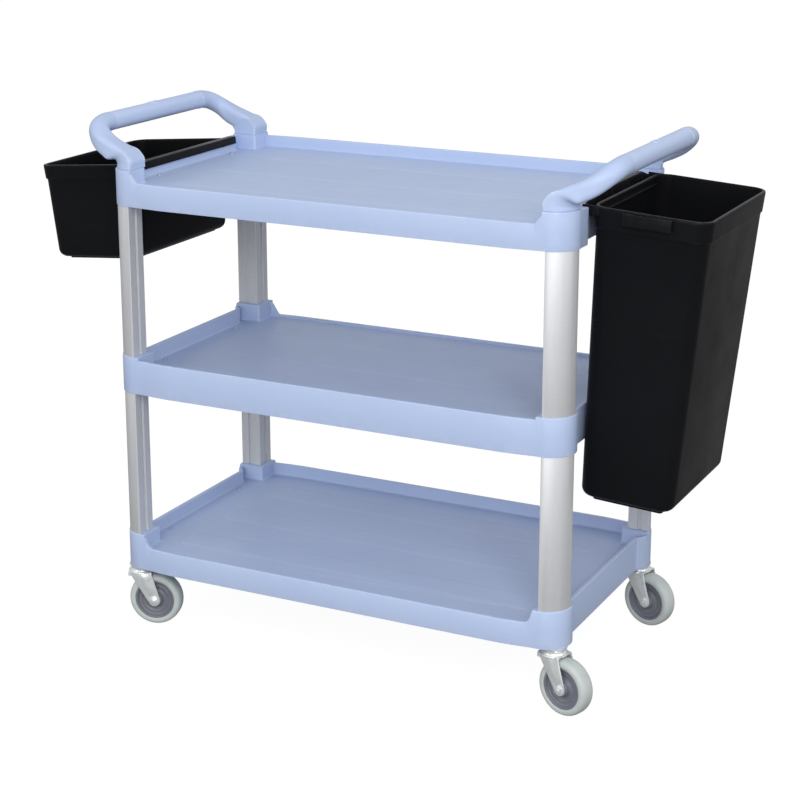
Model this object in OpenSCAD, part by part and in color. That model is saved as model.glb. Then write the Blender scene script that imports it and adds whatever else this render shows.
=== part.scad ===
// Three-tier moulded service cart with four aluminium corner posts, two push
// handles, a large and a small hanging bin and four swivel casters.
// Millimetres, +Z up, wheels standing on Z = 0. +X runs along the cart towards
// the large bin, the low side of the top shelf faces -Y.

/* [Shelves] */
// shelf length between the recessed end walls
tray_l = 865; // [700:5:1000]
// shelf width over the bowed long sides
tray_w = 500; // [420:5:600]
// underside of the bottom shelf above the floor
bottom_z = 120; // [110:1:150]
// underside of the middle shelf
middle_z = 465; // [400:5:520]
// underside of the top shelf
top_z = 815; // [700:5:900]
// thickness of the upstanding shelf walls
rim_t = 8; // [6:0.5:12]
// thickness of the skirts, floors and ribs
skin_t = 4; // [3:0.5:6]
// radius of the corner lobes around the posts
lobe_r = 44.5; // [44:0.5:50]

/* [Posts] */
// outer radius of the quarter-round post
post_a = 43; // [36:0.5:43]
// depth of the two grooves in the inner faces
groove_d = 3; // [1:0.5:4]

/* [Handles] */
// centre line of the grip beyond the cart centre
grip_x = 502; // [470:1:520]
// height of the grip centre line
grip_z = 949.5; // [920:0.5:990]
// radius of the grip sleeve
grip_r = 17; // [13:0.5:18]
// half length of the grip sleeve
grip_half = 148; // [120:1:155]

/* [Casters] */
// wheel radius
wheel_r = 50.8; // [45:0.1:51]
// tread width
tread_w = 31; // [24:1:32]
// trail of the axle behind the kingpin
trail = 27.5; // [20:0.5:32]
// resting swivel angles, left front, right front, left back, right back
swivel = [16, -17, 9, -15];

/* [Bins] */
// lean of the large bin
lean_large = 3.6; // [0:0.1:4.5]
// lean of the small bin
lean_small = 5; // [0:0.1:6]
// depth of the large bin below its rim
large_h = 510; // [400:5:520]
// depth of the small bin below its rim
small_h = 177; // [140:1:200]

/* [Hidden] */
e = 0.01;
cart_x = 1.752;              // puts the middle of the whole length on X = 0
px = tray_l / 2 - 29.5;      // post inner corner
py = tray_w / 2 - 50;
cx = px + 19.6;              // caster kingpin
cy = py + 12.8;
fill_y = py - 37.55;         // where the end recess meets the lobe fillet

blue = [0.55, 0.66, 0.88];
alu = [0.78, 0.78, 0.77];
black = [0.08, 0.08, 0.09];
zinc = [0.80, 0.80, 0.78];
grey = [0.62, 0.65, 0.62];
core_grey = [0.50, 0.49, 0.55];

// ---------- shelves ----------

// plan outline of a shelf, shrunk by i
module plan(i = 0) {
    square([tray_l - 2 * i, 2 * py], center = true);
    half = concat(
        [[-px - 3, py + lobe_r - i - 3]],
        [for (k = [0:6]) [-px + 73 * k / 6, side_y(-px + 73 * k / 6) - i]],
        [for (k = [0:6]) [px - 73 + 73 * k / 6, side_y(px - 73 + 73 * k / 6) - i]],
        [[px + 3, py + lobe_r - i - 3]]);
    polygon(concat(half, [for (k = [len(half) - 1:-1:0]) [half[k][0], -half[k][1]]]));
    for (sx = [-1, 1]) for (sy = [-1, 1])
        translate([sx * px, sy * py]) circle(r = lobe_r - i, $fn = 64);
    // fillets between the recessed ends and the lobes
    for (sx = [-1, 1]) for (sy = [-1, 1])
        polygon(concat(
            [for (k = [0:5]) let (w = 180 - 43.5 * k / 5)
                [sx * (tray_l / 2 + 10 + (10 + i) * cos(w)), sy * (fill_y + (10 + i) * sin(w))]],
            [[sx * (px + 20), sy * (fill_y + 16)], [sx * (px + 12), sy * (fill_y + 4)]]));
}
// half width of the outline at x, bowed out between the lobes
function side_y(x) = let (t = max(0, (abs(x) - (px - 73)) / 73))
    tray_w / 2 - (tray_w / 2 - py - lobe_r - 0.15) * (1 - cos(180 * t)) / 2;

module corner_squares(x0, y0) {
    for (sx = [-1, 1]) for (sy = [-1, 1])
        translate([sx * (x0 + 40), sy * (y0 + 40)]) square(80, center = true);
}

// s = side that is cut low (-1 front, +1 back); heights are above the skirt's lower edge
// blk = how far the corner collars reach inside the posts, sweep = end of the low side
module tray(z, s, h_floor, h_low, h_high, h_end, h_corner, blk, sweep, stem_holes = false) {
    blk_x = px - blk;
    blk_y = py - blk;
    translate([cart_x, 0, z]) difference() {
        union() {
            difference() {
                linear_extrude(h_high) plan();
                // recess above the floor
                translate([0, 0, h_floor]) linear_extrude(80)
                    difference() { plan(rim_t); corner_squares(blk_x, blk_y); }
                // ribbed hollow below the floor
                translate([0, 0, -1]) linear_extrude(h_floor - skin_t + 1)
                    difference() {
                        plan(skin_t);
                        corner_squares(blk_x, blk_y);
                        for (k = [-3:3]) translate([k * 106, 0]) square([3, tray_w], center = true);
                        for (k = [-1.5, -0.5, 0.5, 1.5]) translate([0, k * 98]) square([tray_l, 3], center = true);
                    }
                // low side between the corners, swept up at its ends
                translate([0, s * (tray_w / 2 - rim_t - 1.2), h_low]) mirror([0, s < 0 ? 0 : 1, 0]) rotate([90, 0, 0])
                    linear_extrude(30) polygon(concat(sweep,
                        [for (k = [len(sweep) - 1:-1:0]) [-sweep[k][0], sweep[k][1]]]));
            }
            // corner collars
            for (sx = [-1, 1]) for (sy = [-1, 1]) translate([0, 0, h_high]) linear_extrude(h_corner - h_high) intersection() {
                union() {
                    translate([sx * px, sy * py]) circle(r = lobe_r, $fn = 64);
                    translate([sx * (px + 9.75), sy * (py + 9.75)]) square(39.5, center = true);
                }
                translate([sx * (blk_x + 50), sy * (blk_y + 50)]) square(100, center = true);
            }
            // end walls that stand higher than the long side
            if (h_end > h_high) for (sx = [-1, 1])
                translate([sx * (tray_l / 2 - rim_t / 2), 0, (h_end + h_high) / 2])
                    cube([rim_t, 2 * fill_y, h_end - h_high], center = true);
            // broad raised bands along the floor
            for (y = [-150, 0, 150]) translate([0, y, h_floor]) cube([700, 62, 1.6], center = true);
        }
        // pilot holes for the two screws at each end
        for (sx = [-1, 1]) for (y = [-128, 128])
            translate([sx * (tray_l / 2 - 22), y, h_floor - 10]) cylinder(r = 2.05, h = 20, $fn = 32);
        if (stem_holes) for (sx = [-1, 1]) for (sy = [-1, 1])
            translate([sx * cx, sy * cy, -1]) cylinder(r = 5.55, h = 42, $fn = 48);
    }
}
// ends of the low side: a straight slope or a hollow sweep up to the full height
slope_top = [[px - 19, 0], [px - 6.5, 14.6], [px - 6.5, 60]];
slope_mid = [[px - 27, 0], [px - 24, 2.5], [px - 12, 21], [px - 10.4, 24], [px - 10.4, 60]];
hollow = concat([for (k = [0:6]) [px - 28 + 16 * sin(15 * k), 16 - 16 * cos(15 * k)]], [[px - 12, 60]]);
module top_tray() { color(blue) tray(top_z, -1, 37, 44.5, 59, 63, 65, 6, slope_top); }
module middle_tray() { color(blue) tray(middle_z, 1, 35, 41, 64, 64, 69, 10, slope_mid); }
module bottom_tray() { color(blue) tray(bottom_z, -1, 40, 45, 64, 64, 69, 10, hollow, true); }

// round-headed screws through the shelf floors close to the end walls
module shelf_screws() {
    color(zinc) for (zz = [top_z + 37, middle_z + 35, bottom_z + 40]) for (sx = [-1, 1]) for (y = [-128, 128])
        translate([cart_x + sx * (tray_l / 2 - 22), y, zz]) {
            translate([0, 0, -8]) cylinder(r = 2, h = 9, $fn = 32);
            cylinder(r = 4.5, h = 1.6, $fn = 32);
            cylinder(r = 3.2, h = 2.6, $fn = 32);
        }
}

// ---------- posts ----------

module post2d() {
    difference() {
        intersection() {
            circle(r = post_a, $fn = 96);
            square(post_a + 1);
        }
        translate([18, -1]) square([9, 1 + groove_d]);
        translate([-1, 18]) square([1 + groove_d, 9]);
        intersection() {
            circle(r = post_a - 2.2, $fn = 96);
            translate([groove_d + 2.4, groove_d + 2.4]) square(post_a);
        }
    }
}
module post(sx, sy, z0, z1) {
    color(alu) translate([cart_x + sx * px, sy * py, z0]) mirror([sx < 0 ? 1 : 0, 0, 0]) mirror([0, sy < 0 ? 1 : 0, 0])
        linear_extrude(z1 - z0) post2d();
}
module post_upper(sx, sy) { post(sx, sy, middle_z + 69, top_z); }
module post_lower(sx, sy) { post(sx, sy, bottom_z + 69, middle_z); }

// ---------- handles ----------

// closed tube through rings of points
module skin(rings) {
    n = len(rings[0]);
    m = len(rings);
    pts = [for (r = rings) for (p = r) p];
    faces = concat(
        [[for (i = [0:n - 1]) n - 1 - i]],
        [for (k = [0:m - 2]) for (i = [0:n - 1]) [k * n + i, k * n + (i + 1) % n, (k + 1) * n + (i + 1) % n]],
        [for (k = [0:m - 2]) for (i = [0:n - 1]) [k * n + i, (k + 1) * n + (i + 1) % n, (k + 1) * n + i]],
        [[for (i = [0:n - 1]) (m - 1) * n + i]]);
    polyhedron(points = pts, faces = faces, convexity = 6);
}
function unit(v) = v / norm(v);
// Catmull-Rom point on segment i of path p
function cr(p, i, t) =
    let (a = p[max(0, i - 1)], b = p[i], c = p[i + 1], d = p[min(len(p) - 1, i + 2)])
    0.5 * (2 * b + (c - a) * t + (2 * a - 5 * b + 4 * c - d) * t * t + (3 * b - a - 3 * c + d) * t * t * t);
function dcr(p, i, t) =
    let (a = p[max(0, i - 1)], b = p[i], c = p[i + 1], d = p[min(len(p) - 1, i + 2)])
    unit(0.5 * ((c - a) + 2 * (2 * a - 5 * b + 4 * c - d) * t + 3 * (3 * b - a - 3 * c + d) * t * t));
// elliptical section, a = half width sideways, b = half height
function oval(c, t, a, b, n = 24) =
    let (s = unit(cross(t, [0, 0, 1])), u = cross(s, t))
    [for (i = [0:n - 1]) c + s * a * cos(360 * i / n) + u * b * sin(360 * i / n)];

arm_path = [[px + 13, py + 14, top_z + 69], [px + 20, py + 15.5, top_z + 78.5], [px + 34, py + 16, top_z + 89],
    [px + 56, py + 14.5, top_z + 102.5], [px + 78, py + 6.5, top_z + 117.5], [grip_x - 6.5, py - 10.5, grip_z - 4.2],
    [grip_x, grip_half + 15, grip_z - 0.3], [grip_x, grip_half, grip_z]];
arm_a = [20, 20.5, 20.5, 20, 19.2, 18, grip_r + 0.4, grip_r];
arm_b = [16.5, 16.8, 17, 17, 17, 17.1, grip_r + 0.2, grip_r];
// arm of the right handle on the +Y side; mirrored for the others
module arm(sx, sy) {
    color(blue) translate([cart_x, 0, 0]) mirror([sx < 0 ? 1 : 0, 0, 0]) mirror([0, sy < 0 ? 1 : 0, 0]) union() {
        translate([0, 0, top_z + 65]) linear_extrude(17) intersection() {
            translate([px, py]) circle(r = 41.5, $fn = 48);
            translate([px - 6, py - 6]) square(60);
        }
        difference() {
            skin(concat(
                [for (i = [0:5]) for (q = [0:1]) let (t = q / 2)
                    oval(cr(arm_path, i, t), dcr(arm_path, i, t),
                        arm_a[i] * (1 - t) + arm_a[i + 1] * t, arm_b[i] * (1 - t) + arm_b[i + 1] * t)],
                [oval(arm_path[6], [0, -1, 0], arm_a[6], arm_b[6]),
                 oval(arm_path[7], [0, -1, 0], arm_a[7], arm_b[7])]));
            translate([px + 40, py, top_z + 65 - 20]) cube([120, 120, 40], center = true);
        }
    }
}
module handle_core(sx) {
    color(zinc) translate([cart_x + sx * grip_x, 0, grip_z]) rotate([90, 0, 0]) difference() {
        cylinder(r = 11, h = 2 * grip_half, center = true, $fn = 48);
        cylinder(r = 9.5, h = 2 * grip_half + 2, center = true, $fn = 48);
    }
}
module handle_grip(sx) {
    color(blue) translate([cart_x + sx * grip_x, 0, grip_z]) difference() {
        union() {
            rotate([90, 0, 0]) cylinder(r = grip_r, h = 2 * grip_half, center = true, $fn = 96);
            // shallow raised pad on top
            intersection() {
                rotate([90, 0, 0]) cylinder(r = grip_r + 1.2, h = 60, center = true, $fn = 96);
                translate([0, -3, 0]) cylinder(r = 13, h = 40, $fn = 64);
            }
        }
        rotate([90, 0, 0]) cylinder(r = 11, h = 2 * grip_half + 2, center = true, $fn = 48);
    }
}

// ---------- casters ----------

module at_caster(i) {
    sx = (i == 0 || i == 2) ? -1 : 1;
    sy = (i < 2) ? -1 : 1;
    translate([cart_x + sx * cx, sy * cy, 0]) rotate([0, 0, swivel[i]]) children();
}
module caster_race(i) {
    color(zinc) at_caster(i) union() {
        translate([0, 0, bottom_z - 1]) cylinder(r = 5.5, h = 40, $fn = 48);
        translate([0, 0, bottom_z - 3]) cylinder(r = 23, h = 3, $fn = 64);
        translate([0, 0, bottom_z - 8]) cylinder(r = 20, h = 6, $fn = 64);
        translate([0, 0, 101]) cylinder(r = 6, h = 12, $fn = 48);
        translate([0, 0, 100]) cylinder(r = 9, h = 3.4, $fn = 48);
    }
}
module caster_fork(i) {
    color(zinc) at_caster(i) difference() {
        union() {
            // crowned top
            translate([0, 0, 107.4]) cylinder(r = 22, h = 4.3, $fn = 64);
            translate([0, 0, 103.7]) cylinder(r = 25, h = 4.3, $fn = 64);
            translate([1, 0, 105.2]) cube([44, 39.4, 3], center = true);
            // legs
            for (q = [-1, 1]) translate([0, q * 18.4 + 1.3, 0]) rotate([90, 0, 0]) linear_extrude(2.6) {
                polygon([[-21, 106.7], [23, 106.7], [trail + 11.2, 54], [trail + 3, wheel_r - 11], [trail - 9.6, wheel_r - 6]]);
                translate([trail, wheel_r]) circle(r = 11.6, $fn = 48);
            }
        }
        translate([0, 0, 95]) cylinder(r = 6.06, h = 30, $fn = 48);
        translate([trail, 0, wheel_r]) rotate([90, 0, 0]) cylinder(r = 4.05, h = 60, center = true, $fn = 48);
    }
}
module caster_axle(i) {
    color(zinc) at_caster(i) translate([trail, 0, wheel_r]) rotate([90, 0, 0]) union() {
        cylinder(r = 4, h = 46, center = true, $fn = 48);
        translate([0, 0, 19.7]) cylinder(r = 7, h = 4, $fn = 48);
        translate([0, 0, -24.5]) cylinder(r = 7.2, h = 4.8, $fn = 6);
    }
}
module caster_core(i) {
    color(core_grey) at_caster(i) translate([trail, 0, wheel_r]) rotate([90, 0, 0]) difference() {
        union() {
            cylinder(r = 38, h = 24, center = true, $fn = 96);
            cylinder(r = 13, h = 33.6, center = true, $fn = 64);
        }
        cylinder(r = 4.06, h = 60, center = true, $fn = 48);
        for (q = [-1, 1]) translate([0, 0, q * 9.5]) difference() {
            cylinder(r = 32, h = 7, center = true, $fn = 96);
            cylinder(r = 16, h = 8, center = true, $fn = 64);
        }
    }
}
module caster_tyre(i) {
    color(grey) at_caster(i) translate([trail, 0, wheel_r]) rotate([90, 0, 0]) difference() {
        rotate_extrude($fn = 128) polygon([[38, -tread_w / 2 + 1.5], [41, -tread_w / 2], [44, -tread_w / 2],
            [48, -tread_w / 2 + 2.2], [50, -tread_w / 2 + 6], [wheel_r, -tread_w / 2 + 10], [wheel_r, tread_w / 2 - 10],
            [50, tread_w / 2 - 6], [48, tread_w / 2 - 2.2], [44, tread_w / 2], [41, tread_w / 2], [38, tread_w / 2 - 1.5]]);
    }
}

// ---------- bins ----------
// local frame: u away from the cart, v across, w up, rim top at w = 0

function rr(u0, u1, hv, r, w, n = 5) = [
    for (c = [[u1 - r, -hv + r, -90], [u1 - r, hv - r, 0], [u0 + r, hv - r, 90], [u0 + r, -hv + r, 180]])
        for (i = [0:n]) [c[0] + r * cos(c[2] + 90 * i / n), c[1] + r * sin(c[2] + 90 * i / n), w]];
// ring of a tapered box: top span a..b, half width hv, inset i, drafts over depth h:
// du on the cart's side, db on the outer side, dv across
function tb(a, b, hv, du, db, dv, h, r, w, i) =
    rr(a + du * (-w) / h + i, b - db * (-w) / h - i, hv - dv * (-w) / h - i, max(3, r - i), w);

function flip(v) = [for (i = [len(v) - 1:-1:0]) v[i]];
module bin_shell(a, b, hv, du, db, dv, h, r, band, step, t, foot) {
    skin(flip(concat(
        // plinth and bottom rounding, outside
        [tb(a, b, hv, du, db, dv, h, r, -h - foot, 20),
         tb(a, b, hv, du, db, dv, h, r, -h, 19),
         tb(a, b, hv, du, db, dv, h, r, -h, 15)],
        [for (q = [20, 45, 70, 90]) tb(a, b, hv, du, db, dv, h, r, -h + 15 * (1 - cos(q)), 15 * (1 - sin(q)))],
        // side, rim band and rim
        [tb(a, b, hv, du, db, dv, h, r, -band - step, 0),
         tb(a, b, hv, du, db, dv, h, r, -band, -step),
         tb(a, b, hv, 0, 0, 0, h, r, -2, -step - 0.5),
         tb(a, b, hv, 0, 0, 0, h, r, 0, -step + 1.5),
         tb(a, b, hv, 0, 0, 0, h, r, 0, t),
         tb(a, b, hv, 0, 0, 0, h, r, -2, t + 1.5)],
        // inside
        [tb(a, b, hv, du, db, dv, h, r, -band, t),
         tb(a, b, hv, du, db, dv, h, r, -h + 14, t),
         tb(a, b, hv, du, db, dv, h, r, -h + 7, t + 4),
         tb(a, b, hv, du, db, dv, h, r, -h + t + 1, t + 13)])));
}

module large_bin() {
    color(black) translate([cart_x + tray_l / 2 + 19.5, 0, top_z + 66]) rotate([0, lean_large, 0]) difference() {
        union() {
            bin_shell(1.5, 199, 164, 11.5, 20, 14.5, large_h, 26, 36, 2.5, 3, 7);
            // trough between the rim and the hook, square at its ends
            translate([0, 0, -16]) linear_extrude(3) difference() {
                translate([-17.8, -162.5]) square([45, 325]);
                polygon([for (p = rr(3, 199, 162.5, 24.5, 0)) [p[0], p[1]]]);
            }
            translate([0, 0, -16]) linear_extrude(16) difference() {
                translate([-17.8, -162.5]) square([45, 325]);
                translate([-14.8, -159.5]) square([80, 319]);
            }
            translate([-17.8, -162.5, -16]) cube([3, 325, 24]);
            // crest and lip over the end wall
            translate([-32, -122, -3.8]) cube([15, 244, 11.8]);
            translate([-32, -122, -11]) cube([4, 244, 14]);
            // grip tabs on the long rims
            for (q = [-1, 1]) translate([99, q * 170, -13]) cube([84, 13, 20], center = true);
        }
        // bevelled ends of the crest
        for (q = [-1, 1]) translate([-15 + 0.6, 0, 0]) rotate([0, -90, 0]) linear_extrude(20)
            polygon([[9, q * 116], [-8, q * 164], [30, q * 164], [30, q * 116]]);
        // finger recess below each tab
        for (q = [-1, 1]) translate([99, q * 171.4, -17]) cube([78, 5.8, 14], center = true);
    }
}

module small_bin() {
    color(black) translate([cart_x - tray_l / 2 - 3.5, 0, top_z + 61.8]) mirror([1, 0, 0]) rotate([0, lean_small, 0]) union() {
        bin_shell(1.2, 218.5, 163, 18, 8.5, 1.5, small_h, 24, 26, 3, 3, 4);
        // hook over the end wall
        translate([-16, -160, 1.3]) cube([19, 320, 2.5]);
        translate([-1.5, -135, -6]) cube([4.5, 270, 9]);
        translate([-16, -160, -10.5]) cube([4, 320, 12.5]);
    }
}

top_tray();
middle_tray();
bottom_tray();
post_upper(-1, -1);  // post_upper_lf
post_upper(1, -1);  // post_upper_rf
post_upper(-1, 1);  // post_upper_lb
post_upper(1, 1);  // post_upper_rb
post_lower(-1, -1);  // post_lower_lf
post_lower(1, -1);  // post_lower_rf
post_lower(-1, 1);  // post_lower_lb
post_lower(1, 1);  // post_lower_rb
arm(-1, -1);  // handle_left_arm_front
arm(-1, 1);  // handle_left_arm_back
handle_core(-1);  // handle_left_core
handle_grip(-1);  // handle_left_grip
arm(1, -1);  // handle_right_arm_front
arm(1, 1);  // handle_right_arm_back
handle_core(1);  // handle_right_core
handle_grip(1);  // handle_right_grip
caster_race(0);  // caster_lf_race
caster_fork(0);  // caster_lf_fork
caster_axle(0);  // caster_lf_axle
caster_core(0);  // caster_lf_core
caster_tyre(0);  // caster_lf_tyre
caster_race(1);  // caster_rf_race
caster_fork(1);  // caster_rf_fork
caster_axle(1);  // caster_rf_axle
caster_core(1);  // caster_rf_core
caster_tyre(1);  // caster_rf_tyre
caster_race(2);  // caster_lb_race
caster_fork(2);  // caster_lb_fork
caster_axle(2);  // caster_lb_axle
caster_core(2);  // caster_lb_core
caster_tyre(2);  // caster_lb_tyre
caster_race(3);  // caster_rb_race
caster_fork(3);  // caster_rb_fork
caster_axle(3);  // caster_rb_axle
caster_core(3);  // caster_rb_core
caster_tyre(3);  // caster_rb_tyre
large_bin();
small_bin();
shelf_screws();
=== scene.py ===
import math

import bmesh
import bpy
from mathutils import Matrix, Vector


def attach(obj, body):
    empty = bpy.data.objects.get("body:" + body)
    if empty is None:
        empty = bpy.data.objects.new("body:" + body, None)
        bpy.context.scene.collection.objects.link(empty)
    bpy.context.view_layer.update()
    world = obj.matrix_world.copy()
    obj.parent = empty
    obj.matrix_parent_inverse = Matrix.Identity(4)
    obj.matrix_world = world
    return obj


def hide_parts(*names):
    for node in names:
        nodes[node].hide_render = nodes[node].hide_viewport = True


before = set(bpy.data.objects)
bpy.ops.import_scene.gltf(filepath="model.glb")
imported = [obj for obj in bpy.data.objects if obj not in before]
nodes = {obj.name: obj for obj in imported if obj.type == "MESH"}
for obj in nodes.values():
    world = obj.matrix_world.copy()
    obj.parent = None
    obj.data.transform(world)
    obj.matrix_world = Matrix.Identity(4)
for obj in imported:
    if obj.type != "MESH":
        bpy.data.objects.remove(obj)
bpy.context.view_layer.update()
scene = bpy.context.scene

MM = 0.001
CX = 1.752
PX, PY = 403.0, 200.0
LOBE = 44.5
CORNERS = {"lf": (-1, -1), "rf": (1, -1), "lb": (-1, 1), "rb": (1, 1)}
SWIVEL = {"lf": 16.0, "rf": -17.0, "lb": 9.0, "rb": -15.0}


# ------------------------------------------------------------------ camera
cam_data = bpy.data.cameras.new("camera")
cam = bpy.data.objects.new("camera", cam_data)
scene.collection.objects.link(cam)
cam.location = (1.5653, -3.0909, 1.5120)
cam.rotation_euler = (math.radians(90 - 15.24), 0.0, math.radians(26.533))
cam_data.sensor_width = 36.0
cam_data.lens = 87.6
cam_data.shift_x = 0.0
cam_data.shift_y = -0.0821
cam_data.clip_start = 0.05
cam_data.clip_end = 200.0
scene.camera = cam


# ------------------------------------------------------------------ materials
def new_material(name):
    m = bpy.data.materials.new(name)
    m.use_nodes = True
    nt = m.node_tree
    bsdf = nt.nodes["Principled BSDF"]
    return m, nt, bsdf


def noise(nt, coord, scale, detail, rough=0.55, distort=0.0):
    n = nt.nodes.new("ShaderNodeTexNoise")
    n.inputs["Scale"].default_value = scale
    n.inputs["Detail"].default_value = detail
    n.inputs["Roughness"].default_value = rough
    n.inputs["Distortion"].default_value = distort
    nt.links.new(coord, n.inputs["Vector"])
    return n.outputs["Fac"]


def mapped(nt, scale):
    tc = nt.nodes.new("ShaderNodeTexCoord")
    mp = nt.nodes.new("ShaderNodeMapping")
    mp.inputs["Scale"].default_value = scale
    nt.links.new(tc.outputs["Object"], mp.inputs["Vector"])
    return mp.outputs["Vector"]


def remap(nt, value, a, b, c, d):
    r = nt.nodes.new("ShaderNodeMapRange")
    r.inputs["From Min"].default_value = a
    r.inputs["From Max"].default_value = b
    r.inputs["To Min"].default_value = c
    r.inputs["To Max"].default_value = d
    nt.links.new(value, r.inputs["Value"])
    return r.outputs["Result"]


def mix_colour(nt, fac, a, b):
    m = nt.nodes.new("ShaderNodeMix")
    m.data_type = "RGBA"
    nt.links.new(fac, m.inputs[0])
    for sock, v in ((m.inputs[6], a), (m.inputs[7], b)):
        if isinstance(v, tuple):
            sock.default_value = (*v, 1.0)
        else:
            nt.links.new(v, sock)
    return m.outputs[2]


def math_node(nt, op, a, b):
    m = nt.nodes.new("ShaderNodeMath")
    m.operation = op
    for sock, v in ((m.inputs[0], a), (m.inputs[1], b)):
        if isinstance(v, (int, float)):
            sock.default_value = v
        else:
            nt.links.new(v, sock)
    return m.outputs[0]


def bump(nt, bsdf, layers):
    """layers: (height, strength, distance), the first one underneath."""
    last = None
    for height, strength, dist in layers:
        b = nt.nodes.new("ShaderNodeBump")
        b.inputs["Strength"].default_value = strength
        b.inputs["Distance"].default_value = dist
        nt.links.new(height, b.inputs["Height"])
        if last is not None:
            nt.links.new(last, b.inputs["Normal"])
        last = b.outputs["Normal"]
    nt.links.new(last, bsdf.inputs["Normal"])


def edge_mask(nt, lo, hi, coord, scale=55.0):
    """Convex edges, broken up by noise."""
    geo = nt.nodes.new("ShaderNodeNewGeometry")
    e = remap(nt, geo.outputs["Pointiness"], lo, hi, 0.0, 1.0)
    n = remap(nt, noise(nt, coord, scale, 4.0), 0.42, 0.62, 0.25, 1.0)
    return math_node(nt, "MULTIPLY", e, n)


def plastic(name, dark, light, worn_and_sheen, rough=0.42, spec=0.5, grain=0.10, wear_and_sheen_edges=(0.515, 0.56), wear_and_sheen_mix=0.6, scuff=0.5):
    m, nt, bsdf = new_material(name)
    even = mapped(nt, (1, 1, 1))
    long_x = mapped(nt, (3.0, 22.0, 22.0))
    broad = noise(nt, even, 3.2, 4.0)
    col = mix_colour(nt, remap(nt, broad, 0.3, 0.7, 0.0, 1.0), dark, light)
    streak = noise(nt, long_x, 2.4, 6.0, 0.62)
    col = mix_colour(nt, remap(nt, streak, 0.60, 0.80, 0.0, 0.16 * scuff), col, worn_and_sheen)
    # convex edges mixed toward the worn_and_sheen colour: a painted highlight along the edges together with edge wear;
    # on the black bins it stands in for the glossy rims' reflections
    edge = edge_mask(nt, wear_and_sheen_edges[0], wear_and_sheen_edges[1], even)
    col = mix_colour(nt, math_node(nt, "MULTIPLY", edge, wear_and_sheen_mix), col, worn_and_sheen)
    nt.links.new(col, bsdf.inputs["Base Color"])
    r = math_node(nt, "ADD", remap(nt, noise(nt, even, 14.0, 5.0), 0.3, 0.7, rough - 0.05, rough + 0.06),
                  remap(nt, streak, 0.55, 0.80, 0.0, 0.10 * scuff))
    nt.links.new(r, bsdf.inputs["Roughness"])
    bsdf.inputs["Specular IOR Level"].default_value = spec
    stipple = noise(nt, even, 900.0, 2.0, 0.6)
    flow = noise(nt, even, 26.0, 3.0, 0.5)
    bump(nt, bsdf, [(flow, 0.10, 0.0012), (stipple, grain, 0.00022)])
    return m


def metal(name, dark, light, rough, grain_scale, streak=(1, 1, 1), strength=0.12, dist=0.00012, metallic=1.0, spots=None, spec=0.5):
    m, nt, bsdf = new_material(name)
    even = mapped(nt, (1, 1, 1))
    along = mapped(nt, streak)
    lines = noise(nt, along, grain_scale, 5.0, 0.6)
    broad = noise(nt, even, 9.0, 4.0)
    f = math_node(nt, "ADD", remap(nt, lines, 0.3, 0.7, 0.0, 0.6), remap(nt, broad, 0.3, 0.7, 0.0, 0.4))
    col = mix_colour(nt, f, dark, light)
    if spots:
        sp = noise(nt, even, 160.0, 4.0, 0.7)
        col = mix_colour(nt, remap(nt, sp, 0.62, 0.78, 0.0, 0.5), col, spots)
    # convex edges lightened: a painted highlight along the edges together with edge wear
    edge = edge_mask(nt, 0.52, 0.60, even, 120.0)
    col = mix_colour(nt, math_node(nt, "MULTIPLY", edge, 0.5), col, tuple(min(1.0, c * 1.12) for c in light))
    nt.links.new(col, bsdf.inputs["Base Color"])
    bsdf.inputs["Metallic"].default_value = metallic
    bsdf.inputs["Specular IOR Level"].default_value = spec
    nt.links.new(remap(nt, lines, 0.25, 0.75, rough - 0.06, rough + 0.08), bsdf.inputs["Roughness"])
    bump(nt, bsdf, [(broad, 0.06, 0.0006), (lines, strength, dist)])
    return m


def rubber(name, dark, light, dust, rough, spec=0.35):
    m, nt, bsdf = new_material(name)
    even = mapped(nt, (1, 1, 1))
    broad = noise(nt, even, 38.0, 5.0)
    fine = noise(nt, even, 700.0, 3.0, 0.65)
    col = mix_colour(nt, remap(nt, broad, 0.3, 0.7, 0.0, 1.0), dark, light)
    marks = noise(nt, even, 120.0, 6.0, 0.7)
    col = mix_colour(nt, remap(nt, marks, 0.60, 0.75, 0.0, 0.35), col, dust)
    nt.links.new(col, bsdf.inputs["Base Color"])
    nt.links.new(remap(nt, broad, 0.3, 0.7, rough - 0.06, rough + 0.06), bsdf.inputs["Roughness"])
    bsdf.inputs["Specular IOR Level"].default_value = spec
    bump(nt, bsdf, [(marks, 0.12, 0.0005), (fine, 0.16, 0.00018)])
    return m


M_BLUE = plastic("moulded_blue_plastic", (0.415, 0.510, 0.735), (0.445, 0.540, 0.760), (0.62, 0.70, 0.88),
                 rough=0.42, spec=0.42, grain=0.08)
M_GRIP = plastic("grip_blue_plastic", (0.465, 0.565, 0.800), (0.495, 0.595, 0.825), (0.64, 0.72, 0.90),
                 rough=0.46, spec=0.45, grain=0.22)
# the light grey third colour, mixed in at convex edges, is a painted highlight for the glossy rims' reflections; its
# faint scuff streaks are wear
M_BLACK = plastic("moulded_black_plastic", (0.0056, 0.0059, 0.0073), (0.0076, 0.0079, 0.0096), (0.125, 0.127, 0.135),
                  rough=0.30, spec=0.055, grain=0.10, wear_and_sheen_edges=(0.53, 0.62), wear_and_sheen_mix=0.55, scuff=0.12)
M_ALU = metal("anodised_aluminium", (0.60, 0.61, 0.63), (0.67, 0.68, 0.70), 0.50, 90.0, (1.0, 1.0, 0.02), 0.08, metallic=0.42)
M_ZINC = metal("bright_zinc_plate", (0.74, 0.77, 0.78), (0.86, 0.88, 0.89), 0.30, 60.0, (1, 1, 1), 0.04, metallic=0.55, spots=(0.62, 0.65, 0.67))
M_SCREW = metal("screw_zinc", (0.40, 0.45, 0.56), (0.50, 0.55, 0.66), 0.42, 200.0, (1, 1, 1), 0.08, metallic=0.6)
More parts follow.
